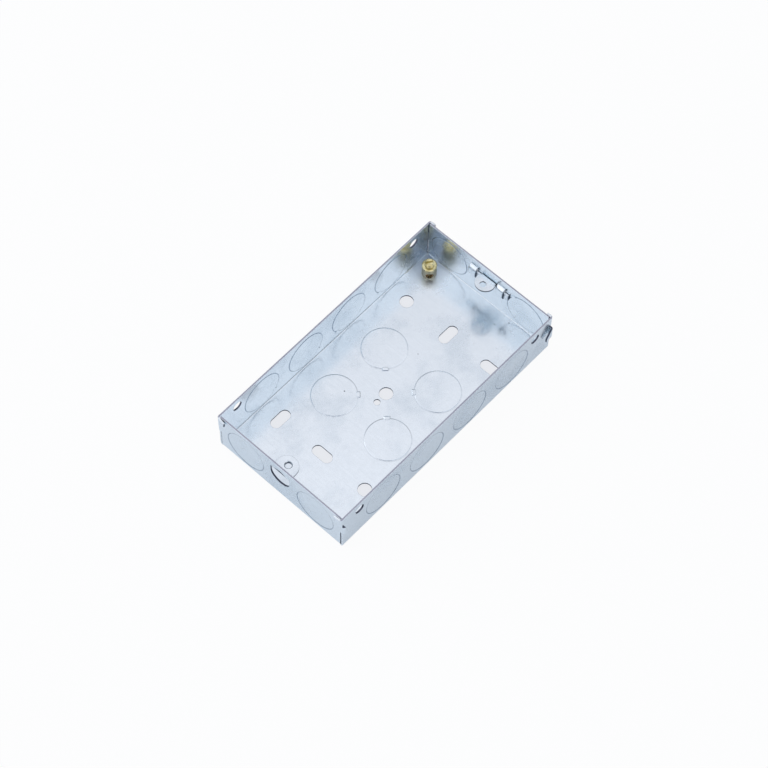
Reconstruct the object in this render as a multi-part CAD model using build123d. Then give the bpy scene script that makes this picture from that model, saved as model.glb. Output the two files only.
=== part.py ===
"""Two-gang flush wiring box: a folded steel tray with knockouts, a sliding lug and an earth terminal.

X runs along the box, Y across it and Z out of its open face. The origin is the middle of the base's
outer face. Sizes are in millimetres and angles in degrees.
"""
import os
from math import atan2, cos, pi, radians, sin, tan

from build123d import *

# Tray: one sheet, folded up on four sides
box_length = 131.0
box_width = 71.0
box_depth = 25.0
sheet = 0.8
fold_radius = 0.4            # inside the folds

# Corner laps: a tongue of the long wall over a tab of the short wall
lap_radius = 0.4
lap_gap = 0.1
loose_gap = 0.9              # under the one tab left standing off
tongue_height = 6.6
tongue_tip = 2.4
tab_height = 6.0
tab_tip = 2.0
tab_droop = 1.2
lap_cut = 0.15               # saw cut between tongue and tab
corner_slit = 0.15           # end of a long wall to the short wall's faces
# How each corner was dressed round by hand: angle, free length and gap under the tongue and the tab
corner_dressing = {
    (1, 1): {"tongue": (87, 2.0, lap_gap), "tab": (84, 1.8, lap_gap)},
    (1, -1): {"tongue": (89, 1.8, lap_gap), "tab": (90, 2.8, loose_gap)},
    (-1, 1): {"tongue": (79, 3.6, lap_gap), "tab": (60, 1.8, lap_gap)},
    (-1, -1): {"tongue": (87, 3.0, lap_gap), "tab": (90, 1.3, lap_gap)},
}

# Knockouts: discs half sheared from the sheet and pressed in, with one tie
knockout_radius = 10.3
shear_width = 0.5
shear_height = 0.12
tie_radius = 1.4
tie_height = 0.22
base_knockout_x = 15.9
base_knockout_y = 15.7
side_knockout_pitch = 27.0
plain_end_knockout_y = 20.0
sliding_end_knockout_y = 22.1

# Fixing holes and slots
centre_hole_radius = 3.1
pilot_hole_radius = 1.5
pilot_hole_x = -5.8
fixing_x = 40.0
fixing_y = 24.6
fixing_hole_radius = 3.15
slot_length = 10.3
slot_width = 5.1
side_hole_radius = 2.5
side_hole_x = 55.0
side_hole_drop = 4.9         # below the rim

# Faceplate lugs, which put the two screws 120.6 apart
screw_inset = 5.2            # faceplate screw to the outside of its short wall
lug_drop = 5.0               # top of both lugs below the rim
lug_bend_radius = 0.4
bend_overlap = 0.2           # straight run past each end of a lug's bend
screw_hole_radius = 1.5      # tapped for the faceplate screws
hole_flare = 0.35
fixed_lug_width = 10.6
fixed_lug_margin = 4.2       # screw hole to the lug's round end
window_clearance = 0.1
collar_wall = 0.7
collar_height = 0.7

# Sliding lug, its strip and the two bridges that hold it
sliding_lug_radius = 4.7
sliding_lug_margin = 3.1     # screw hole to the lug's round end
neck_width = 8.2
strip_length = 23.0
strip_height = 3.8
strip_top_drop = 1.4         # strip below the lug's top face
slide_clearance = 0.08       # on each face of the strip
slide_offset = -1.0          # where along the wall the lug stands
bridge_length = 4.1
bridge_gap = 11.6            # clear width between the bridges
bridge_ramp = 1.5
bridge_radius = 2.6

# Earth terminal
post_inset_x = 8.0           # post to the outside of the nearest short wall
post_inset_y = 8.3           # and of the nearest long wall
post_radius = 3.35
post_height = 7.1
post_chamfer = 0.35
spigot_radius = 2.0
rivet_clearance = 0.02
wire_hole_radius = 1.8
wire_hole_height = 2.6       # hole's axis above the base
bore_overrun = 0.3           # screw bore past the bottom of the wire hole
wire_angle = 225.0           # way the wire leaves, in plan
earth_screw_radius = 1.95
thread_clearance = 0.08
earth_screw_length = 4.6
earth_screw_proud = 2.2
screw_slot_width = 1.0
screw_slot_depth = 1.2
screw_slot_angle = -32.0
screw_chamfer = 0.25

# Sizes that follow
half_length = box_length / 2
half_width = box_width / 2
fold_outside = fold_radius + sheet
wall_end_x = half_length - fold_outside
wall_end_y = half_width - fold_outside
wall_stub = fold_radius - corner_slit
lug_top = box_depth - lug_drop
screw_x = half_length - screw_inset
post_x = half_length - post_inset_x
post_y = half_width - post_inset_y
tongue_low = box_depth - tongue_height
tab_high = tongue_low - lap_cut
tab_low = tab_high - tab_height
strip_top = lug_top - strip_top_drop
post_top = sheet + post_height


def folded_profile(outside, inside, radius):
    """Face of sheet between a folded outer line and its inner one."""
    outer = FilletPolyline(*outside, radius=radius + sheet)
    inner = FilletPolyline(*inside, radius=radius)
    ends = [Line(outer @ 0, inner @ 0), Line(outer @ 1, inner @ 1)]
    return make_face(outer.edges() + inner.edges() + ends)


def channel(half_span):
    """Base and two facing walls, in section."""
    inner_span = half_span - sheet
    outside = [(-half_span, box_depth), (-half_span, 0), (half_span, 0), (half_span, box_depth)]
    inside = [(-inner_span, box_depth), (-inner_span, sheet), (inner_span, sheet), (inner_span, box_depth)]
    return folded_profile(outside, inside, fold_radius)


def folded_tray():
    """Long and short walls folded from one base, the long ones running on to the corners below the laps."""
    long_walls = Plane.YZ * channel(half_width)
    tray = extrude(long_walls, wall_end_x, both=True)
    tray += extrude(Plane.XZ * channel(half_length), wall_end_y, both=True)
    from_floor = (Align.MIN, Align.MIN, Align.MIN)
    lower_end = Pos(wall_end_x, wall_end_y, 0) * Box(fold_outside, fold_outside, tab_low, align=from_floor)
    lower_bend = extrude(long_walls, half_length - corner_slit, both=True) & lower_end
    stub = Pos(wall_end_x, half_width - sheet, tab_low) * Box(wall_stub, sheet, tab_height, align=from_floor)
    for end in (lower_bend, stub):
        pair = [end, mirror(end, about=Plane.YZ)]
        tray += pair + [mirror(piece, about=Plane.XZ) for piece in pair]
    return tray


def corner_ear(angle, reach, gap, root, tip):
    """Ear past the end of a wall along X, its inner face on y = 0, dressed round toward -Y."""
    lead = fold_outside + gap - lap_radius
    start = 90 - angle
    strip = Pos(lead / 2, sheet / 2) * Rectangle(lead, sheet)
    inner = CenterArc((lead, -lap_radius), lap_radius, start, angle)
    outer = CenterArc((lead, -lap_radius), lap_radius + sheet, start, angle)
    bend = make_face([inner, outer, Line(inner @ 0, outer @ 0), Line(inner @ 1, outer @ 1)])
    ear = Pos(0, 0, root[0]) * extrude(strip + bend, root[1] - root[0])
    run = Vector(cos(radians(angle)), -sin(radians(angle)), 0)
    face = Plane(inner @ 0, x_dir=run, z_dir=run.cross(Vector(0, 0, 1)))
    outline = Polyline((0, root[0]), (reach, tip[0]), (reach, tip[1]), (0, root[1]), close=True)
    return ear + extrude(face * make_face(outline), -sheet)


def corner_laps():
    """Tongue and tab at each corner, modelled at +X +Y and mirrored to the others."""
    swap = Plane((0, 0, 0), z_dir=(1, -1, 0))
    tab_base = tab_low - tab_droop
    laps = []
    for (side_x, side_y), dressing in corner_dressing.items():
        tongue = corner_ear(*dressing["tongue"], (tongue_low, box_depth), (box_depth - tongue_tip, box_depth))
        tab = corner_ear(*dressing["tab"], (tab_low, tab_high), (tab_base, tab_base + tab_tip))
        pair = [Pos(wall_end_x, half_width - sheet, 0) * tongue,
                Pos(half_length - sheet, wall_end_y, 0) * mirror(tab, about=swap)]
        for ear in pair:
            if side_x < 0:
                ear = mirror(ear, about=Plane.YZ)
            if side_y < 0:
                ear = mirror(ear, about=Plane.XZ)
            laps.append(ear)
    return laps


def half_sheared_disc():
    """Disc pressed a little way in, on a sheet whose inner face is z = 0: what to cut and what to add."""
    slope = shear_width / shear_height
    below = 0.1
    hollow = Cone(knockout_radius + shear_width / 2 + slope * below, knockout_radius - shear_width / 2,
                  shear_height + below, align=(Align.CENTER, Align.CENTER, Align.MIN))
    disc = Cone(knockout_radius + shear_width / 2, knockout_radius - shear_width / 2, shear_height,
                align=(Align.CENTER, Align.CENTER, Align.MIN))
    return Pos(0, 0, -sheet - below) * hollow, disc


def tie(tie_angle):
    """Nib left standing at the tie."""
    nib = extrude(Rectangle(1.5 * tie_radius, 2.2 * tie_radius), tie_height, taper=60)
    return Rot(0, 0, tie_angle) * Pos(knockout_radius, 0, 0) * nib


def through(outline):
    """Outline on a sheet's inner face, run through the sheet and clear of it."""
    return Pos(0, 0, -2 * sheet) * extrude(outline, 3 * sheet)


# Inner faces of the sheet, Z into the box; on the walls Y is up
base_face = Plane((0, 0, sheet))
far_side = Plane((0, half_width - sheet, 0), x_dir=(1, 0, 0), z_dir=(0, -1, 0))
near_side = Plane((0, sheet - half_width, 0), x_dir=(-1, 0, 0), z_dir=(0, 1, 0))
side_faces = [far_side, near_side]
sliding_end = Plane((half_length - sheet, 0, 0), x_dir=(0, -1, 0), z_dir=(-1, 0, 0))
plain_end = Plane((sheet - half_length, 0, 0), x_dir=(0, 1, 0), z_dir=(1, 0, 0))


def knockout_places():
    """Plane of every knockout, its tie's angle, and whether the disc shows on the outside."""
    middle = box_depth / 2
    places = []
    for x, y, angle in ((1, 1, 225), (1, -1, 135), (-1, 1, 315), (-1, -1, 45)):
        places.append((base_face * Pos(x * base_knockout_x, y * base_knockout_y), angle, False))
    for face in side_faces:
        for step in (-1.5, -0.5, 0.5, 1.5):
            places.append((face * Pos(step * side_knockout_pitch, middle), 225 if step > 0 else 315,
                           face is near_side))
    for side in (-1, 1):
        places.append((sliding_end * Pos(side * sliding_end_knockout_y, middle),
                       135 if side > 0 else 45, False))
        places.append((plain_end * Pos(side * plain_end_knockout_y, middle),
                       315 if side > 0 else 225, True))
    return places


def fixing_holes():
    """Round holes and slots of the base, and the holes near the rim of the long walls."""
    hole = through(Circle(fixing_hole_radius))
    along = through(SlotOverall(slot_length, slot_width))
    across = Rot(0, 0, 90) * along
    cuts = [base_face * through(Circle(centre_hole_radius)),
            base_face * Pos(pilot_hole_x, 0) * through(Circle(pilot_hole_radius)),
            base_face * Pos(fixing_x, fixing_y) * hole,
            base_face * Pos(-fixing_x, -fixing_y) * hole,
            base_face * Pos(fixing_x, 0) * along,
            base_face * Pos(-fixing_x, fixing_y) * along,
            base_face * Pos(-fixing_x, 0) * across,
            base_face * Pos(fixing_x, -fixing_y) * across,
            base_face * Pos(post_x, post_y) * through(Circle(spigot_radius + rivet_clearance))]
    for face in side_faces:
        for x in (-side_hole_x, side_hole_x):
            cuts.append(face * Pos(x, box_depth - side_hole_drop) * through(Circle(side_hole_radius)))
    return cuts


def screw_hole(top, flare):
    """Faceplate screw hole with a flared mouth at height top."""
    depth = 2 * (sheet + collar_height)
    bore = Cylinder(screw_hole_radius, depth, align=(Align.CENTER, Align.CENTER, Align.MAX))
    mouth = Cone(screw_hole_radius, screw_hole_radius + flare, flare,
                 align=(Align.CENTER, Align.CENTER, Align.MAX))
    return Pos(0, 0, top) * (bore + mouth)


def fixed_lug():
    """Lug struck out of the plain end wall and bent in, and the window it leaves."""
    radius = fixed_lug_width / 2
    inner_x = sheet - half_length
    bend_x = inner_x + lug_bend_radius
    bend_z = lug_top + lug_bend_radius
    end_x = fixed_lug_margin - screw_x
    under = lug_top - sheet
    run_x, run_z = bend_x + bend_overlap, bend_z + bend_overlap
    outside = [(-half_length, run_z), (-half_length, under), (run_x, under)]
    inside = [(inner_x, run_z), (inner_x, lug_top), (run_x, lug_top)]
    lug = extrude(Plane.XZ * folded_profile(outside, inside, lug_bend_radius), radius, both=True)
    flat_length = end_x - radius - bend_x
    plan = Pos(bend_x + flat_length / 2, 0) * Rectangle(flat_length, fixed_lug_width)
    plan += Pos(end_x - radius, 0) * Circle(radius)
    plan &= Pos(bend_x + box_length / 2, 0) * Rectangle(box_length, fixed_lug_width)
    lug += Pos(0, 0, under) * extrude(plan, sheet)
    collar = Cylinder(screw_hole_radius + collar_wall, sheet + collar_height,
                      align=(Align.CENTER, Align.CENTER, Align.MAX))
    lug += Pos(-screw_x, 0, lug_top) * collar
    lug -= Pos(-screw_x, 0, 0) * screw_hole(lug_top, hole_flare)

    blank = (lug_bend_radius + sheet / 2) * pi / 2 + end_x - bend_x
    low = bend_z - blank - window_clearance
    arc = radius + window_clearance
    opening = Pos(0, (low + arc + bend_z) / 2) * Rectangle(2 * arc, bend_z - low - arc)
    opening += Pos(0, low + arc) * Circle(arc)
    return lug, plain_end * through(opening)


def bridges():
    """Two straps lanced out of the sliding end wall, and the wall cut away behind them."""
    inner_x = half_length - sheet
    back_x = inner_x - sheet - 2 * slide_clearance
    front_x = back_x - sheet
    turn = atan2(inner_x - front_x, bridge_ramp)
    shift = sheet * tan(turn / 2)
    low = strip_top - strip_height - slide_clearance - shift
    high = strip_top + slide_clearance + shift
    foot, head = low - bridge_ramp, high + bridge_ramp
    front = FilletPolyline((inner_x, foot), (front_x, low), (front_x, high), (inner_x, head),
                           radius=bridge_radius)
    back = Polyline((inner_x, head), (half_length, head), (half_length, head - shift), (back_x, high - shift),
                    (back_x, low + shift), (half_length, foot + shift), (half_length, foot), (inner_x, foot))
    strap = make_face(front.edges() + back.edges())
    bridge = extrude(Plane.XZ * strap, bridge_length / 2, both=True)
    window = through(Pos(0, (foot + head) / 2) * Rectangle(bridge_length, head - foot))
    middle = (bridge_gap + bridge_length) / 2
    return ([Pos(0, y, 0) * bridge for y in (-middle, middle)],
            [sliding_end * Pos(y, 0) * window for y in (-middle, middle)])


def make_box_body():
    """The whole folded sheet, one solid."""
    places = knockout_places()
    lug, lug_window = fixed_lug()
    straps, strap_windows = bridges()
    cuts = fixing_holes() + [lug_window] + strap_windows
    hollow, disc = half_sheared_disc()
    cuts += [place * hollow for place, angle, outside in places if outside]
    body = folded_tray() - cuts + [lug] + straps + corner_laps()
    body += [place * disc for place, angle, outside in places]
    return body + [place * tie(angle) for place, angle, outside in places]


def make_adjustable_lug():
    """Strip that runs behind the bridges, with the second faceplate lug bent in from its top edge."""
    outer_x = half_length - sheet - slide_clearance
    inner_x = outer_x - sheet
    bend_x = inner_x - lug_bend_radius
    strip = Box(sheet, strip_length, strip_height, align=(Align.MAX, Align.CENTER, Align.MAX))
    under = lug_top - sheet
    run_x, run_z = bend_x - bend_overlap, strip_top - bend_overlap
    outside = [(outer_x, run_z), (outer_x, lug_top), (run_x, lug_top)]
    inside = [(inner_x, run_z), (inner_x, under), (run_x, under)]
    neck = extrude(Plane.XZ * folded_profile(outside, inside, lug_bend_radius), neck_width / 2, both=True)
    end_x = screw_x - sliding_lug_margin
    plan = Pos(end_x + sliding_lug_radius, 0) * Circle(sliding_lug_radius)
    plan &= Pos(bend_x - sliding_lug_radius, 0) * Rectangle(2 * sliding_lug_radius, 2 * sliding_lug_radius)
    lug = Pos(outer_x, 0, strip_top) * strip + neck + Pos(0, 0, under) * extrude(plan, sheet)
    lug -= Pos(screw_x, 0, lug_top) * Cylinder(screw_hole_radius, 4 * sheet)
    return Pos(0, slide_offset, 0) * lug


def make_earth_post():
    """Turned brass post riveted through the base, cross drilled for the wire."""
    bore = earth_screw_radius + thread_clearance
    wire_z = sheet + wire_hole_height
    bore_floor = wire_z - wire_hole_radius - bore_overrun
    outline = Polyline((0, 0), (spigot_radius, 0), (spigot_radius, sheet), (post_radius, sheet),
                       (post_radius, post_top - post_chamfer), (post_radius - post_chamfer, post_top),
                       (bore, post_top), (bore, bore_floor), (0, bore_floor), close=True)
    post = revolve(Plane.XZ * make_face(outline), Axis.Z)
    drill = Rot(0, 90, 0) * Cylinder(wire_hole_radius, 4 * post_radius)
    post -= Pos(0, 0, wire_z) * Rot(0, 0, wire_angle) * drill
    return Pos(post_x, post_y, 0) * post


def make_earth_screw():
    """Slotted grub screw that clamps the wire."""
    top = post_top + earth_screw_proud
    tip = top - earth_screw_length
    outline = Polyline((0, tip), (earth_screw_radius, tip), (earth_screw_radius, top - screw_chamfer),
                       (earth_screw_radius - screw_chamfer, top), (0, top), close=True)
    screw = revolve(Plane.XZ * make_face(outline), Axis.Z)
    slot = Box(4 * earth_screw_radius, screw_slot_width, 2 * screw_slot_depth)
    screw -= Pos(0, 0, top) * Rot(0, 0, screw_slot_angle) * slot
    return Pos(post_x, post_y, 0) * screw


os.makedirs("parts", exist_ok=True)
export_step(make_box_body(), "parts/box_body.step")
export_step(make_adjustable_lug(), "parts/adjustable_lug.step")
export_step(make_earth_post(), "parts/earth_post.step")
export_step(make_earth_screw(), "parts/earth_screw.step")
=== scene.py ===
"""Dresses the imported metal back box: galvanised sheet, brass earth terminal, studio and camera."""
from math import cos, radians, sin, tau

import bmesh
import bpy
from bpy.props import FloatProperty, FloatVectorProperty, IntProperty, PointerProperty
from bpy.types import Operator, Panel, PropertyGroup
from mathutils import Matrix, Vector


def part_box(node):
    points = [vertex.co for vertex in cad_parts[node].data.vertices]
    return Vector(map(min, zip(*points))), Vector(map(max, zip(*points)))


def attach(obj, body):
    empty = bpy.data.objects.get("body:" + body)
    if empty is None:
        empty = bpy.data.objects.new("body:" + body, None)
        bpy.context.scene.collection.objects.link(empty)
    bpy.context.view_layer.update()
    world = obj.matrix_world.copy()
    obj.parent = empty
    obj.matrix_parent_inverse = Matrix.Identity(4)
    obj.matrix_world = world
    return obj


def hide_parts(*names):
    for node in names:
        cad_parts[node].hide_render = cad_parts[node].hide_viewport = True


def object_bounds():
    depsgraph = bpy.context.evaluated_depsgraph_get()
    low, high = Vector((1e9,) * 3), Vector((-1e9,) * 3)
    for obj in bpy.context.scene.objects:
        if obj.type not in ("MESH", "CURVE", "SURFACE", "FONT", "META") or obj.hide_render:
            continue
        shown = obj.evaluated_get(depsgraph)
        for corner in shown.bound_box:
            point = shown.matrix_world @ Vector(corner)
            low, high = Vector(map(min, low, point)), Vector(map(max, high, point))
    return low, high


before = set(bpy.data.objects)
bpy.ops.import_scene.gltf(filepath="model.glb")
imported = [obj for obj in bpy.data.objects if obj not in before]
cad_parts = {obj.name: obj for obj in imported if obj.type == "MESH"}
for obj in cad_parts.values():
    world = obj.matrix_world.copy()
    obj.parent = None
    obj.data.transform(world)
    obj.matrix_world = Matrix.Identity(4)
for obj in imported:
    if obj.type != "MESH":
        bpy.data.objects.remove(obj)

bl_info = {
    "name": "Metal back box",
    "version": (1, 0, 0),
    "blender": (4, 5, 0),
    "location": "View3D > Sidebar > Back box",
    "description": "Finishes for a two-gang flush wiring box, with its studio",
    "category": "Object",
}

MM = 0.001
CAD_BOX = [list(corner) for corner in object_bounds()]


def linear(hex_colour):
    """Linear RGB of an sRGB hex colour."""
    parts = [int(hex_colour[i:i + 2], 16) / 255 for i in (1, 3, 5)]
    return tuple(c / 12.92 if c <= 0.04045 else ((c + 0.055) / 1.055) ** 2.4 for c in parts)


def add(tree, kind, sockets=None, **settings):
    """New node with its settings; each socket takes a value or another node's output."""
    node = tree.nodes.new(kind)
    for name, value in settings.items():
        setattr(node, name, value)
    for name, value in (sockets or {}).items():
        if isinstance(value, bpy.types.NodeSocket):
            tree.links.new(value, node.inputs[name])
        else:
            node.inputs[name].default_value = value
    return node


def new_material(name):
    """Empty material's node tree and its output."""
    material = bpy.data.materials.new(name)
    material.use_nodes = True
    material.node_tree.nodes.clear()
    return material, material.node_tree, add(material.node_tree, "ShaderNodeOutputMaterial")


def put_on(node_name, material):
    """Gives a CAD node one material in place of its own."""
    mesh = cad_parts[node_name].data
    if not mesh.materials:
        mesh.materials.append(material)
    for i in range(len(mesh.materials)):
        mesh.materials[i] = material


def own_object(name, bm, material):
    """Mesh object at the origin, made from a finished bmesh."""
    mesh = bpy.data.meshes.new(name)
    bm.to_mesh(mesh)
    bm.free()
    mesh.materials.append(material)
    piece = bpy.data.objects.new(name, mesh)
    bpy.context.scene.collection.objects.link(piece)
    return piece


class SteelProperties(PropertyGroup):
    """Finish of the galvanised sheet"""
    zinc: FloatVectorProperty(name="Zinc", description="Fresh zinc, as a reflectance", subtype="COLOR",
                              size=3, min=0, max=1, default=linear("#E4EDF3"))
    dull_zinc: FloatVectorProperty(name="Dull zinc", description="Zinc where it has gone grey",
                                   subtype="COLOR", size=3, min=0, max=1, default=linear("#D6E1E9"))
    # Cut edge: bare sheared steel, painted darker still as the shade in the holes and the bridges' openings
    cut_edge_and_shade: FloatVectorProperty(name="Cut edge", description="Bare sheared edge of the sheet",
                                  subtype="COLOR", size=3, min=0, max=1, default=linear("#595E6D"))
    rim: FloatVectorProperty(name="Rim", description="Sheared edge of the rim", subtype="COLOR",
                             size=3, min=0, max=1, default=linear("#A0A3B3"))
    # Shear line: painted shade in the groove round a knockout
    groove_shade_line: FloatVectorProperty(name="Shear line", description="Line round a knockout", subtype="COLOR",
                                    size=3, min=0, max=1, default=linear("#7F91A4"))
    pit: FloatVectorProperty(name="Pit", description="Pits in the zinc", subtype="COLOR",
                             size=3, min=0, max=1, default=linear("#3C4652"))
    roughness: FloatProperty(name="Roughness", description="Roughness of the rolled zinc", subtype="FACTOR",
                             min=0, max=1, default=0.2)
    cloud: FloatProperty(name="Cloud size", description="Width of the dull patches", unit="LENGTH",
                         subtype="DISTANCE", default=26 * MM)


class BrassProperties(PropertyGroup):
    """Finish of the brass, and the earth screw's thread and slot"""
    brass: FloatVectorProperty(name="Brass", description="Turned brass, as a reflectance", subtype="COLOR",
                               size=3, min=0, max=1, default=linear("#EADFAE"))
    tarnish: FloatVectorProperty(name="Tarnish", description="Brass where it has gone olive", subtype="COLOR",
                                 size=3, min=0, max=1, default=linear("#CFC38A"))
    dull_foot: FloatVectorProperty(name="Dull foot", description="Greyed brass toward the foot of the post",
                                   subtype="COLOR", size=3, min=0, max=1, default=linear("#C4BFA8"))
    # Bore: pale brown brass, painted light inside the dark wire hole
    lit_bore: FloatVectorProperty(name="Bore", description="Brown brass inside the wire hole", subtype="COLOR",
                              size=3, min=0, max=1, default=linear("#EEDCC4"))
    thread_pitch: FloatProperty(name="Thread pitch", description="Earth screw's pitch", unit="LENGTH",
                                subtype="DISTANCE", default=0.7 * MM)
    thread_depth: FloatProperty(name="Thread depth", description="Crest to root", unit="LENGTH",
                                subtype="DISTANCE", default=0.36 * MM)
    thread_steps: IntProperty(name="Thread steps", description="Steps round the thread", default=64, min=12)
    slot_width: FloatProperty(name="Slot width", description="Screwdriver slot", unit="LENGTH",
                              subtype="DISTANCE", default=1.0 * MM)
    slot_depth: FloatProperty(name="Slot depth", description="Screwdriver slot", unit="LENGTH",
                              subtype="DISTANCE", default=1.2 * MM)
    slot_angle: FloatProperty(name="Slot angle", description="Way the slot runs, in plan", unit="ROTATION",
                              subtype="ANGLE", default=radians(-32))


class StageProperties(PropertyGroup):
    """Camera, light and floor"""
    target: FloatVectorProperty(name="Target", description="Point the camera looks at", subtype="TRANSLATION",
                                size=3, default=(-1.785 * MM, -0.178 * MM, 12 * MM))
    azimuth: FloatProperty(name="Azimuth", description="Camera round the box", unit="ROTATION",
                           subtype="ANGLE", default=radians(-48.809))
    elevation: FloatProperty(name="Elevation", description="Camera above the floor", unit="ROTATION",
                             subtype="ANGLE", default=radians(61.434))
    roll: FloatProperty(name="Roll", description="Camera about its own axis", unit="ROTATION",
                        subtype="ANGLE", default=radians(1.689))
    distance: FloatProperty(name="Distance", description="Camera to target", unit="LENGTH",
                            subtype="DISTANCE", default=1073.966 * MM)
    lens: FloatProperty(name="Lens", description="Focal length on a 36 mm sensor", default=118.075)
    sky: FloatProperty(name="Sky", description="Light from the white room", default=1.11, min=0)
    key: FloatProperty(name="Key light", description="Power of the soft box", unit="POWER",
                       default=2.5, min=0)
    paper: FloatVectorProperty(name="Paper", description="Paper of the floor, where the box's shadow falls",
                               subtype="COLOR", size=3, min=0, max=1, default=linear("#DDE6EE"))
    shaded_paper: FloatVectorProperty(name="Shaded paper", description="Paper seen through the box's holes",
                                      subtype="COLOR", size=3, min=0, max=1, default=linear("#E9EBF0"))


# The box, in millimetres from the middle of its underside, down to PITS.
# Knockouts: radius, and the places of the discs on base, long walls and end walls. The discs are further
# apart on the sliding lug's wall than on the plain end, so their place shifts with X
KNOCKOUT = 10.3
BASE_DISC = (15.9, 15.7, 0.0)
SIDE_PITCH = 27.0
END_DISC_MIDDLE = 21.05
END_DISC_SHIFT = 1.05 / 65.0
HALF_DEPTH = 12.5
# Sheet: top of the base with its discs, inside of the long and end walls with theirs, and the rim
BASE_TOP = 0.98
SIDE_INSIDE = 34.5
END_INSIDE = 64.5
RIM_HEIGHT = 24.9
# Bare line on the rim: the middle of the sheet in the long and end walls, and half the line's width
SIDE_MIDDLE = 35.1
END_MIDDLE = 65.1
BARE_HALF = 0.27
# Lugs, strip and bridges: inside of the strip's bridges, and half the width that they all keep to
STRIP_INSIDE = 62.4
LUG_REACH = 13.0
# Earth post: axis, radius that clears its bore, top of the wire hole, top of the greyed foot, and where
# the dull zinc round it begins to clear and is clear
POST = (57.5, 27.2, 0.0)
POST_CORE = 3.2
WIRE_HOLE_TOP = 5.5
FOOT_TOP = 7.9
DULL_RING = (3.5, 13.0)
# Pits in the zinc of the base: place and radius
PITS = (((-11.45, 13.83, 0.9), 0.3), ((57.62, -11.36, 0.8), 0.3), ((62.5, -15.5, 0.8), 0.28),
        ((23.8, 3.1, 0.8), 0.22))

# The lug was plated by itself, and is a little rougher than the sheet
LUG_ROUGHER = 0.05
# Earth screw: chamfer at its head, and the distance within which its turns are welded
SCREW_CHAMFER = 0.3 * MM
WELD = 0.002 * MM

# Floor: half its side, its gap below the box, the share of plain white that it shows to the camera and
# in reflections, where the rest is lit paper, and the share of the footprint that counts as under the box
FLOOR_HALF = 3.0
FLOOR_GAP = 0.05 * MM
WHITE_SEEN = 0.94
WHITE_MIRRORED = 0.28
FOOTPRINT = 0.94
# Room: tint of its white and of the dark round the camera, and that dark's outer and inner half angle
ROOM_WHITE = (0.965, 0.95, 0.995)
CAMERA_DARK = (0.175, 0.21, 0.3)
DARK_CONE = (radians(28), radians(13))
# Ways from the box to the lit side, to the deep end and to the low window, with the window's half angles
LIT_WAY = (-0.6, 0.53, 0.6)
DEEP_WAY = (0.75, 0.66, 0)
WINDOW_WAY = (-0.88, 0.315, 0.36)
WINDOW_CONE = (radians(22), radians(8))
# Soft box: place, the point that it faces, and its side
LAMP_PLACE = Vector((-0.6, 1.0, 0.45))
LAMP_AIM = Vector((0, 0, 0.01))
LAMP_SIDE = 0.8


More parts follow.
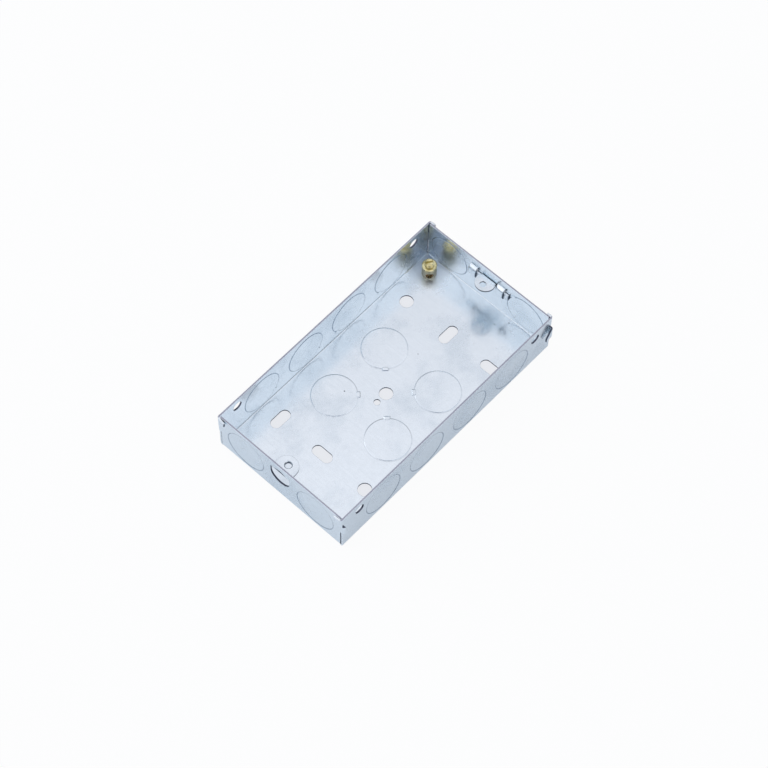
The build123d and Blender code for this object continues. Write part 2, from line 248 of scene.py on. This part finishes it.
def galvanised(name, settings, roughness):
    """Bright galvanised sheet steel, cold rolled: a cool white metal whose reflections are soft and a little
    grainy, with grey clouds in the zinc, faint rolling lines, the shear line round each knockout painted dark
    as the shade in its groove, sheared edges that are bare and darker and are painted darker still as shade
    in the holes and in the openings at the bridges' ends, a few pits, and a dull ring round the earth post."""
    material, tree, output = new_material(name)
    place = add(tree, "ShaderNodeTexCoord").outputs["Object"]
    clouds = add(tree, "ShaderNodeTexNoise", {"Vector": place, "Scale": 1 / settings.cloud, "Detail": 4.0,
                                              "Roughness": 0.6}).outputs["Fac"]
    dull = add(tree, "ShaderNodeMapRange", {"Value": clouds, "From Min": 0.42, "From Max": 0.72},
               interpolation_type="SMOOTHSTEP").outputs["Result"]
    # Rolling lines 0.9 mm apart, coarser than the real ones so that they show
    along = add(tree, "ShaderNodeMapping", {"Vector": place, "Scale": (1 / (0.9 * MM), 1 / (14 * MM),
                                                                      1 / (14 * MM))}).outputs["Vector"]
    lines = add(tree, "ShaderNodeTexNoise", {"Vector": along, "Scale": 1.0, "Detail": 2.0}).outputs["Fac"]
    faint = add(tree, "ShaderNodeMapRange", {"Value": lines, "From Min": 0.3, "From Max": 0.7, "To Min": 0.0,
                                             "To Max": 0.3}).outputs["Result"]
    patchy = add(tree, "ShaderNodeMath", {0: faint, 1: dull}, operation="MAXIMUM").outputs[0]
    colour = add(tree, "ShaderNodeMix", {0: patchy, 6: (*settings.zinc, 1), 7: (*settings.dull_zinc, 1)},
                 data_type="RGBA").outputs[2]
    rough = add(tree, "ShaderNodeMath", {0: dull, 1: 0.06, 2: roughness}, operation="MULTIPLY_ADD").outputs[0]
    # Grain of the zinc, 1.7 mm across, which breaks up what the sheet reflects
    grain = add(tree, "ShaderNodeTexNoise", {"Vector": place, "Scale": 1 / (1.7 * MM), "Detail": 3.0,
                                             "Roughness": 0.6}).outputs["Fac"]
    frosted = add(tree, "ShaderNodeMapRange", {"Value": grain, "From Min": 0.4, "From Max": 0.6,
                                               "To Min": -0.03, "To Max": 0.06}).outputs["Result"]
    rough = add(tree, "ShaderNodeMath", {0: rough, 1: frosted}, operation="ADD").outputs[0]

    mm = add(tree, "ShaderNodeVectorMath", {0: place, "Scale": 1 / MM}, operation="SCALE").outputs[0]
    folded = add(tree, "ShaderNodeVectorMath", {0: mm}, operation="ABSOLUTE").outputs[0]
    x = add(tree, "ShaderNodeSeparateXYZ", {0: mm}).outputs["X"]
    ax, ay, az = add(tree, "ShaderNodeSeparateXYZ", {0: folded}).outputs
    on_base = add(tree, "ShaderNodeMath", {0: az, 1: BASE_TOP}, operation="LESS_THAN").outputs[0]
    on_side = add(tree, "ShaderNodeMath", {0: ay, 1: SIDE_INSIDE}, operation="GREATER_THAN").outputs[0]
    on_end = add(tree, "ShaderNodeMath", {0: ax, 1: END_INSIDE}, operation="GREATER_THAN").outputs[0]

    # Distance from the nearest knockout's centre, in the plane of its wall
    from_base = add(tree, "ShaderNodeVectorMath", {0: folded, 1: (1, 1, 0), 2: [-c for c in BASE_DISC]},
                    operation="MULTIPLY_ADD").outputs[0]
    base_reach = add(tree, "ShaderNodeVectorMath", {0: from_base}, operation="LENGTH").outputs["Value"]
    pair = add(tree, "ShaderNodeVectorMath", {0: folded, 1: (1, 0, 1), 2: (-SIDE_PITCH, 0, -HALF_DEPTH)},
               operation="MULTIPLY_ADD").outputs[0]
    half = add(tree, "ShaderNodeVectorMath", {0: pair}, operation="ABSOLUTE").outputs[0]
    from_side = add(tree, "ShaderNodeVectorMath", {0: half, 1: (-SIDE_PITCH / 2, 0, 0)},
                    operation="ADD").outputs[0]
    side_reach = add(tree, "ShaderNodeVectorMath", {0: from_side}, operation="LENGTH").outputs["Value"]
    shift = add(tree, "ShaderNodeMath", {0: x, 1: -END_DISC_SHIFT, 2: -END_DISC_MIDDLE},
                operation="MULTIPLY_ADD").outputs[0]
    centre = add(tree, "ShaderNodeCombineXYZ", {"Y": shift, "Z": -HALF_DEPTH}).outputs[0]
    from_end = add(tree, "ShaderNodeVectorMath", {0: folded, 1: (0, 1, 1), 2: centre},
                   operation="MULTIPLY_ADD").outputs[0]
    end_reach = add(tree, "ShaderNodeVectorMath", {0: from_end}, operation="LENGTH").outputs["Value"]
    reach = add(tree, "ShaderNodeMath", {0: on_end, 1: end_reach}, operation="MULTIPLY").outputs[0]
    reach = add(tree, "ShaderNodeMix", {0: on_side, 2: reach, 3: side_reach}).outputs[0]
    reach = add(tree, "ShaderNodeMix", {0: on_base, 2: reach, 3: base_reach}).outputs[0]

    # Shear line about 0.45 mm wide, painted darker as the shade in its groove, uneven along the ring, and
    # fainter on the base
    away = add(tree, "ShaderNodeMath", {0: reach, 1: KNOCKOUT}, operation="SUBTRACT").outputs[0]
    near = add(tree, "ShaderNodeMath", {0: away}, operation="ABSOLUTE").outputs[0]
    wander = add(tree, "ShaderNodeTexNoise", {"Vector": place, "Scale": 1 / (4 * MM), "Detail": 4.0,
                                              "Roughness": 0.75}).outputs["Fac"]
    strength = add(tree, "ShaderNodeMapRange", {"Value": wander, "From Min": 0.3, "From Max": 0.65,
                                                "To Min": 0.45, "To Max": 1.0}).outputs["Result"]
    line = add(tree, "ShaderNodeMapRange", {"Value": near, "From Min": 0.1, "From Max": 0.34,
                                            "To Min": 1.0, "To Max": 0.0}).outputs["Result"]
    ring = add(tree, "ShaderNodeMath", {0: line, 1: strength}, operation="MULTIPLY").outputs[0]
    fainter = add(tree, "ShaderNodeMath", {0: on_base, 1: -0.84, 2: 1.0}, operation="MULTIPLY_ADD").outputs[0]
    groove_shade = add(tree, "ShaderNodeMath", {0: ring, 1: fainter}, operation="MULTIPLY").outputs[0]
    colour = add(tree, "ShaderNodeMix", {0: groove_shade, 6: colour, 7: (*settings.groove_shade_line, 1)},
                 data_type="RGBA").outputs[2]

    # A face that doesn't lie along its wall is a sheared edge: the rim, the holes, the ends of the tabs. Bare
    # steel makes it darker, and it is painted darker still as the shade in the holes
    walls = add(tree, "ShaderNodeCombineXYZ", {"X": on_end, "Y": on_side, "Z": on_base}).outputs[0]
    facing = add(tree, "ShaderNodeNewGeometry").outputs["Normal"]
    facing = add(tree, "ShaderNodeVectorMath", {0: facing}, operation="ABSOLUTE").outputs[0]
    lying = add(tree, "ShaderNodeVectorMath", {0: walls, 1: facing}, operation="MULTIPLY").outputs[0]
    lx, ly, lz = add(tree, "ShaderNodeSeparateXYZ", {0: lying}).outputs
    flat = add(tree, "ShaderNodeMath", {0: lx, 1: ly}, operation="MAXIMUM").outputs[0]
    flat = add(tree, "ShaderNodeMath", {0: flat, 1: lz}, operation="MAXIMUM").outputs[0]
    somewhere = add(tree, "ShaderNodeVectorMath", {0: walls}, operation="LENGTH").outputs["Value"]
    steep = add(tree, "ShaderNodeMath", {0: flat, 1: 0.45}, operation="LESS_THAN").outputs[0]
    known = add(tree, "ShaderNodeMath", {0: somewhere, 1: 0.5}, operation="GREATER_THAN").outputs[0]
    cut = add(tree, "ShaderNodeMath", {0: steep, 1: known}, operation="MULTIPLY").outputs[0]
    # Clear of the walls, the lugs lie level and the bridges and the lug's strip stand along the end wall. The
    # ends of the bridges and of the strip are painted dark as the shade in the openings under the bridges
    _, ny, nz = add(tree, "ShaderNodeSeparateXYZ", {0: facing}).outputs
    upright = add(tree, "ShaderNodeMath", {0: nz, 1: 0.3}, operation="LESS_THAN").outputs[0]
    endways = add(tree, "ShaderNodeMath", {0: ny, 1: 0.7}, operation="GREATER_THAN").outputs[0]
    on_strip = add(tree, "ShaderNodeMath", {0: x, 1: STRIP_INSIDE}, operation="GREATER_THAN").outputs[0]
    clear_cut_and_shade = add(tree, "ShaderNodeMix", {0: on_strip, 2: upright, 3: endways}).outputs[0]
    middle = add(tree, "ShaderNodeMath", {0: ay, 1: LUG_REACH}, operation="LESS_THAN").outputs[0]
    clear_cut_and_shade = add(tree, "ShaderNodeMath", {0: clear_cut_and_shade, 1: middle}, operation="MULTIPLY").outputs[0]
    cut = add(tree, "ShaderNodeMix", {0: known, 2: clear_cut_and_shade, 3: cut}).outputs[0]
    # On the rim the zinc comes over both corners of the sheet, so that only a middle line is bare
    rim = add(tree, "ShaderNodeMath", {0: az, 1: RIM_HEIGHT}, operation="GREATER_THAN").outputs[0]
    over_side = add(tree, "ShaderNodeMath", {0: ay, 1: SIDE_MIDDLE, 2: BARE_HALF},
                    operation="COMPARE").outputs[0]
    over_end = add(tree, "ShaderNodeMath", {0: ax, 1: END_MIDDLE, 2: BARE_HALF},
                   operation="COMPARE").outputs[0]
    bare = add(tree, "ShaderNodeMath", {0: over_side, 1: over_end}, operation="MAXIMUM").outputs[0]
    bare = add(tree, "ShaderNodeMix", {0: rim, 2: 1.0, 3: bare}).outputs[0]
    cut = add(tree, "ShaderNodeMath", {0: cut, 1: bare}, operation="MULTIPLY").outputs[0]
    sheared_and_shade = add(tree, "ShaderNodeMix", {0: rim, 6: (*settings.cut_edge_and_shade, 1), 7: (*settings.rim, 1)},
                  data_type="RGBA").outputs[2]
    colour = add(tree, "ShaderNodeMix", {0: cut, 6: colour, 7: sheared_and_shade}, data_type="RGBA").outputs[2]
    rough = add(tree, "ShaderNodeMath", {0: cut, 1: 0.2, 2: rough}, operation="MULTIPLY_ADD").outputs[0]

    for pit, radius in PITS:
        gap = add(tree, "ShaderNodeVectorMath", {0: mm, 1: pit}, operation="DISTANCE").outputs["Value"]
        spot = add(tree, "ShaderNodeMapRange", {"Value": gap, "From Min": radius * 0.6,
                                                "From Max": radius * 1.3, "To Min": 1.0,
                                                "To Max": 0.0}).outputs["Result"]
        colour = add(tree, "ShaderNodeMix", {0: spot, 6: colour, 7: (*settings.pit, 1)},
                     data_type="RGBA").outputs[2]
    # The zinc round the post's foot went dull when the post was riveted in
    from_post = add(tree, "ShaderNodeVectorMath", {0: mm, 1: POST}, operation="DISTANCE").outputs["Value"]
    rubbed = add(tree, "ShaderNodeMapRange", {"Value": from_post, "From Min": DULL_RING[0],
                                              "From Max": DULL_RING[1], "To Min": 0.16, "To Max": 0.0},
                 interpolation_type="SMOOTHSTEP").outputs["Result"]
    rough = add(tree, "ShaderNodeMath", {0: rough, 1: rubbed}, operation="ADD").outputs[0]
    # Every edge is a little broken, and the bridges, pressed out of the wall, are round all over
    bent = add(tree, "ShaderNodeMath", {0: on_strip, 1: middle}, operation="MULTIPLY").outputs[0]
    bent = add(tree, "ShaderNodeMix", {0: known, 2: bent, 3: 0.0}).outputs[0]
    edge = add(tree, "ShaderNodeMath", {0: bent, 1: 0.75 * MM, 2: 0.25 * MM},
               operation="MULTIPLY_ADD").outputs[0]
    broken = add(tree, "ShaderNodeBevel", {"Radius": edge}, samples=4).outputs["Normal"]
    # The shear line is a shallow groove, one lip of which catches the light, in slightly uneven zinc
    groove = add(tree, "ShaderNodeMath", {0: grain, 1: 0.06, 2: ring}, operation="MULTIPLY_ADD").outputs[0]
    grooved = add(tree, "ShaderNodeBump", {"Height": groove, "Strength": 0.6, "Distance": 0.12 * MM,
                                           "Normal": broken}, invert=True).outputs["Normal"]
    shader = add(tree, "ShaderNodeBsdfPrincipled", {"Base Color": colour, "Metallic": 1.0, "Roughness": rough,
                                                    "Normal": grooved})
    tree.links.new(shader.outputs[0], output.inputs[0])
    return material


def turned_brass(name, settings):
    """Turned brass, a little tarnished: pale yellow metal with olive patches, greyer toward the foot, a pale
    brown inside the wire hole that is painted light there, and with fine tool rings."""
    material, tree, output = new_material(name)
    place = add(tree, "ShaderNodeTexCoord").outputs["Object"]
    patches = add(tree, "ShaderNodeTexNoise", {"Vector": place, "Scale": 1 / (2.5 * MM),
                                               "Detail": 4.0}).outputs["Fac"]
    olive = add(tree, "ShaderNodeMapRange", {"Value": patches, "From Min": 0.4, "From Max": 0.7},
                interpolation_type="SMOOTHSTEP").outputs["Result"]
    colour = add(tree, "ShaderNodeMix", {0: olive, 6: (*settings.brass, 1), 7: (*settings.tarnish, 1)},
                 data_type="RGBA").outputs[2]
    height = add(tree, "ShaderNodeSeparateXYZ", {0: place}).outputs["Z"]
    foot = add(tree, "ShaderNodeMapRange", {"Value": height, "From Min": WIRE_HOLE_TOP * MM,
                                            "From Max": FOOT_TOP * MM, "To Min": 1.0,
                                            "To Max": 0.0}).outputs["Result"]
    # The wire hole is painted a pale brown as the light inside it, and only the outside of the post is grey
    flat = add(tree, "ShaderNodeVectorMath", {0: place, 1: (1, 1, 0)}, operation="MULTIPLY").outputs[0]
    out = add(tree, "ShaderNodeVectorMath", {0: flat, 1: [c * MM for c in POST]},
              operation="DISTANCE").outputs["Value"]
    outside = add(tree, "ShaderNodeMath", {0: out, 1: POST_CORE * MM}, operation="GREATER_THAN").outputs[0]
    below = add(tree, "ShaderNodeMath", {0: height, 1: WIRE_HOLE_TOP * MM}, operation="LESS_THAN").outputs[0]
    colour = add(tree, "ShaderNodeMix", {0: below, 6: colour, 7: (*settings.lit_bore, 1)},
                 data_type="RGBA").outputs[2]
    foot = add(tree, "ShaderNodeMath", {0: foot, 1: outside}, operation="MULTIPLY").outputs[0]
    colour = add(tree, "ShaderNodeMix", {0: foot, 6: colour, 7: (*settings.dull_foot, 1)},
                 data_type="RGBA").outputs[2]
    # Tool rings 0.25 mm apart up the post
    rings = add(tree, "ShaderNodeTexWave", {"Vector": place, "Scale": 1 / (0.25 * MM) / 20,
                                            "Distortion": 0.4}, bands_direction="Z").outputs["Fac"]
    rough = add(tree, "ShaderNodeMath", {0: olive, 1: 0.12, 2: 0.22}, operation="MULTIPLY_ADD").outputs[0]
    rough = add(tree, "ShaderNodeMath", {0: foot, 1: 0.25, 2: rough}, operation="MULTIPLY_ADD").outputs[0]
    bump = add(tree, "ShaderNodeBump", {"Height": rings, "Strength": 0.05,
                                        "Distance": 0.05 * MM}).outputs["Normal"]
    shader = add(tree, "ShaderNodeBsdfPrincipled", {"Base Color": colour, "Metallic": 1.0, "Roughness": rough,
                                                    "Normal": bump})
    tree.links.new(shader.outputs[0], output.inputs[0])
    return material


class BACKBOX_OT_sheet(Operator):
    """Galvanise the folded box"""
    bl_idname = "backbox.sheet"
    bl_label = "Box"

    def execute(self, context):
        steel = context.scene.backbox_steel
        put_on("box_body", galvanised("galvanised_sheet", steel, steel.roughness))
        return {"FINISHED"}


class BACKBOX_OT_lug(Operator):
    """Galvanise the sliding lug"""
    bl_idname = "backbox.lug"
    bl_label = "Sliding lug"

    def execute(self, context):
        steel = context.scene.backbox_steel
        put_on("adjustable_lug", galvanised("zinc_plated_lug", steel, steel.roughness + LUG_ROUGHER))
        return {"FINISHED"}


class BACKBOX_OT_earth(Operator):
    """Brass post, and the earth screw with its thread and slot"""
    bl_idname = "backbox.earth"
    bl_label = "Earth terminal"

    def execute(self, context):
        settings = context.scene.backbox_brass
        brass = turned_brass("turned_brass", settings)
        put_on("earth_post", brass)
        low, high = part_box("earth_screw")
        middle = (Vector(low) + Vector(high)) / 2
        crest = (high[0] - low[0]) / 2
        root = crest - settings.thread_depth
        pitch = settings.thread_pitch

        # Thread: radius, and height as a share of the pitch, with a turn to spare at both ends
        profile = ((root, 0.0), (root, 0.12), (crest, 0.48), (crest, 0.64))
        bm = bmesh.new()
        turns = int((high[2] - low[2]) / pitch) + 3
        chain = []
        for i in range(turns):
            z = low[2] - pitch + i * pitch
            for radius, rise in profile:
                chain.append(bm.verts.new((middle[0] + radius, middle[1], z + rise * pitch)))
        edges = [bm.edges.new(pair) for pair in zip(chain, chain[1:])]
        # One turn climbs one pitch, so its end meets its start one thread up and is welded, not merged
        bmesh.ops.spin(bm, geom=chain + edges, cent=(middle[0], middle[1], 0), axis=(0, 0, 1), angle=tau,
                       dvec=(0, 0, pitch / settings.thread_steps), steps=settings.thread_steps)
        bmesh.ops.remove_doubles(bm, verts=bm.verts, dist=WELD)
        for height, way in ((low[2], -1), (high[2], 1)):
            bmesh.ops.bisect_plane(bm, geom=bm.verts[:] + bm.edges[:] + bm.faces[:], plane_co=(0, 0, height),
                                   plane_no=(0, 0, way), clear_outer=True)
        rims = [edge for edge in bm.edges if edge.is_boundary]
        bmesh.ops.holes_fill(bm, edges=rims)
        for vert in bm.verts:
            flat = Vector((vert.co.x - middle[0], vert.co.y - middle[1]))
            start = crest - SCREW_CHAMFER + (high[2] - vert.co.z)
            if flat.length > start:
                flat *= start / flat.length
                vert.co.x, vert.co.y = middle[0] + flat.x, middle[1] + flat.y
        bmesh.ops.recalc_face_normals(bm, faces=bm.faces)
        screw = own_object("earth_screw_thread", bm, brass)

        slot = bmesh.new()
        bmesh.ops.create_cube(slot, size=1.0)
        turn = Matrix.Rotation(settings.slot_angle, 4, "Z")
        size = Matrix.Diagonal((4 * crest, settings.slot_width, 2 * settings.slot_depth, 1))
        slot.transform(Matrix.Translation((middle[0], middle[1], high[2])) @ turn @ size)
        cutter = own_object("slot_cutter", slot, brass)
        cut = screw.modifiers.new("slot", "BOOLEAN")
        cut.operation = "DIFFERENCE"
        cut.solver = "EXACT"
        cut.object = cutter
        done = bpy.data.meshes.new_from_object(screw.evaluated_get(context.evaluated_depsgraph_get()))
        screw.modifiers.clear()
        screw.data = done
        bpy.data.objects.remove(cutter)
        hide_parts("earth_screw")
        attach(screw, "screw")
        return {"FINISHED"}


class BACKBOX_OT_stage(Operator):
    """White floor, soft light and the camera"""
    bl_idname = "backbox.stage"
    bl_label = "Studio"

    def execute(self, context):
        stage = context.scene.backbox_stage
        scene = context.scene
        scene.view_settings.view_transform = "Standard"

        material, tree, output = new_material("white_studio_floor")
        path = add(tree, "ShaderNodeLightPath").outputs
        seen = add(tree, "ShaderNodeMath", {0: path["Is Camera Ray"], 1: WHITE_SEEN},
                   operation="MULTIPLY").outputs[0]
        through = add(tree, "ShaderNodeMath", {0: path["Is Transmission Ray"], 1: WHITE_SEEN, 2: seen},
                      operation="MULTIPLY_ADD").outputs[0]
        mirrored = add(tree, "ShaderNodeMath", {0: path["Is Glossy Ray"], 1: WHITE_MIRRORED, 2: through},
                       operation="MULTIPLY_ADD").outputs[0]
        paper = add(tree, "ShaderNodeBsdfDiffuse", {"Color": (*stage.paper, 1)}).outputs[0]
        # Under the box the paper is in its shadow, and shows through the holes
        place = add(tree, "ShaderNodeTexCoord").outputs["Object"]
        half_box = [(high - low) / 2 for low, high in zip(*CAD_BOX)]
        share = add(tree, "ShaderNodeVectorMath", {0: place, 1: [1 / side for side in half_box]},
                    operation="MULTIPLY").outputs[0]
        share = add(tree, "ShaderNodeVectorMath", {0: share}, operation="ABSOLUTE").outputs[0]
        along, over, _ = add(tree, "ShaderNodeSeparateXYZ", {0: share}).outputs
        widest = add(tree, "ShaderNodeMath", {0: along, 1: over}, operation="MAXIMUM").outputs[0]
        under = add(tree, "ShaderNodeMath", {0: widest, 1: FOOTPRINT}, operation="LESS_THAN").outputs[0]
        plain = add(tree, "ShaderNodeMix", {0: under, 6: (1, 1, 1, 1), 7: (*stage.shaded_paper, 1)},
                    data_type="RGBA").outputs[2]
        glow = add(tree, "ShaderNodeEmission", {"Color": plain, "Strength": 1.0}).outputs[0]
        mix = add(tree, "ShaderNodeMixShader", {0: mirrored, 1: paper, 2: glow}).outputs[0]
        # Clear from below, so that the underside shows
        below = add(tree, "ShaderNodeNewGeometry").outputs["Backfacing"]
        clear = add(tree, "ShaderNodeBsdfTransparent").outputs[0]
        mix = add(tree, "ShaderNodeMixShader", {0: below, 1: mix, 2: clear}).outputs[0]
        tree.links.new(mix, output.inputs[0])
        bm = bmesh.new()
        bmesh.ops.create_grid(bm, x_segments=1, y_segments=1, size=FLOOR_HALF)
        bmesh.ops.translate(bm, verts=bm.verts, vec=(0, 0, CAD_BOX[0][2] - FLOOR_GAP))
        own_object("studio_floor", bm, material)

        around, above = stage.azimuth, stage.elevation
        back = Vector((sin(around) * cos(above), -cos(around) * cos(above), sin(above)))
        right = Vector((cos(around), sin(around), 0))
        up = back.cross(right)
        across = right * cos(stage.roll) + up * sin(stage.roll)
        upward = up * cos(stage.roll) - right * sin(stage.roll)
        spot = Vector(stage.target) + back * stage.distance
        camera = bpy.data.objects.new("camera", bpy.data.cameras.new("camera"))
        camera.data.lens = stage.lens
        camera.data.sensor_width = 36.0
        camera.data.clip_end = 20.0
        camera.matrix_world = Matrix((across, upward, back)).transposed().to_4x4()
        camera.matrix_world.translation = spot
        scene.collection.objects.link(camera)
        scene.camera = camera

        # A white room, dark only where the camera and its stand are
        world = bpy.data.worlds.new("white_room")
        world.use_nodes = True
        tree = world.node_tree
        tree.nodes.clear()
        way = add(tree, "ShaderNodeTexCoord").outputs["Generated"]
        facing = add(tree, "ShaderNodeVectorMath", {0: way, 1: back},
                     operation="DOT_PRODUCT").outputs["Value"]
        dark = add(tree, "ShaderNodeMapRange", {"Value": facing, "From Min": cos(DARK_CONE[0]),
                                                "From Max": cos(DARK_CONE[1])},
                   interpolation_type="SMOOTHSTEP").outputs["Result"]
        bright = [stage.sky * c for c in ROOM_WHITE]
        tint = add(tree, "ShaderNodeMix", {0: dark, 6: (*bright, 1), 7: (*CAMERA_DARK, 1)},
                   data_type="RGBA").outputs[2]
        # The windows are at the left, so the room falls off toward the right of the camera
        toward = add(tree, "ShaderNodeVectorMath", {0: way, 1: LIT_WAY},
                     operation="DOT_PRODUCT").outputs["Value"]
        lit = add(tree, "ShaderNodeMapRange", {"Value": toward, "From Min": -0.62, "From Max": -0.1,
                                               "To Min": 0.15, "To Max": 1.0},
                  interpolation_type="SMOOTHSTEP").outputs["Result"]
        behind = add(tree, "ShaderNodeVectorMath", {0: way, 1: DEEP_WAY},
                     operation="DOT_PRODUCT").outputs["Value"]
        depth = add(tree, "ShaderNodeMapRange", {"Value": behind, "From Min": 0.4, "From Max": 0.7,
                                                 "To Min": 1.0, "To Max": 0.6}).outputs["Result"]
        level = add(tree, "ShaderNodeMath", {0: lit, 1: depth}, operation="MULTIPLY").outputs[0]
        # A window low at the left, which shows along the far fold
        low = add(tree, "ShaderNodeVectorMath", {0: way, 1: WINDOW_WAY},
                  operation="DOT_PRODUCT").outputs["Value"]
        window = add(tree, "ShaderNodeMapRange", {"Value": low, "From Min": cos(WINDOW_CONE[0]),
                                                  "From Max": cos(WINDOW_CONE[1]), "To Min": 0.0,
                                                  "To Max": 0.24},
                     interpolation_type="SMOOTHSTEP").outputs["Result"]
        level = add(tree, "ShaderNodeMath", {0: level, 1: window}, operation="ADD").outputs[0]
        room = add(tree, "ShaderNodeBackground", {"Color": tint, "Strength": level}).outputs[0]
        backdrop = add(tree, "ShaderNodeBackground", {"Strength": 1.0}).outputs[0]
        direct = add(tree, "ShaderNodeLightPath").outputs["Is Camera Ray"]
        mix = add(tree, "ShaderNodeMixShader", {0: direct, 1: room, 2: backdrop}).outputs[0]
        tree.links.new(mix, add(tree, "ShaderNodeOutputWorld").inputs[0])
        scene.world = world

        lamp = bpy.data.lights.new("soft_box", "AREA")
        lamp.shape = "RECTANGLE"
        lamp.size = LAMP_SIDE
        lamp.size_y = LAMP_SIDE
        lamp.energy = stage.key
        soft_box = bpy.data.objects.new("soft_box", lamp)
        aim = (LAMP_AIM - LAMP_PLACE).normalized()
        soft_box.matrix_world = aim.to_track_quat("-Z", "Y").to_matrix().to_4x4()
        soft_box.matrix_world.translation = LAMP_PLACE
        scene.collection.objects.link(soft_box)
        return {"FINISHED"}


STEPS = (BACKBOX_OT_sheet, BACKBOX_OT_lug, BACKBOX_OT_earth, BACKBOX_OT_stage)


class BACKBOX_PT_panel(Panel):
    """Finishes and studio of the back box"""
    bl_label = "Back box"
    bl_space_type = "VIEW_3D"
    bl_region_type = "UI"
    bl_category = "Back box"

    def draw(self, context):
        for step in STEPS:
            self.layout.operator(step.bl_idname)
        for group in (context.scene.backbox_steel, context.scene.backbox_brass, context.scene.backbox_stage):
            for name in group.__annotations__:
                self.layout.prop(group, name)


GROUPS = {"backbox_steel": SteelProperties, "backbox_brass": BrassProperties,
          "backbox_stage": StageProperties}


def register():
    for item in (*GROUPS.values(), *STEPS, BACKBOX_PT_panel):
        bpy.utils.register_class(item)
    for name, group in GROUPS.items():
        setattr(bpy.types.Scene, name, PointerProperty(type=group))


def unregister():
    for name in GROUPS:
        delattr(bpy.types.Scene, name)
    for item in (BACKBOX_PT_panel, *reversed(STEPS), *GROUPS.values()):
        bpy.utils.unregister_class(item)


def main():
    register()
    for step in STEPS:
        group, call = step.bl_idname.split(".")
        getattr(getattr(bpy.ops, group), call)()


if __name__ == "__main__":
    main()
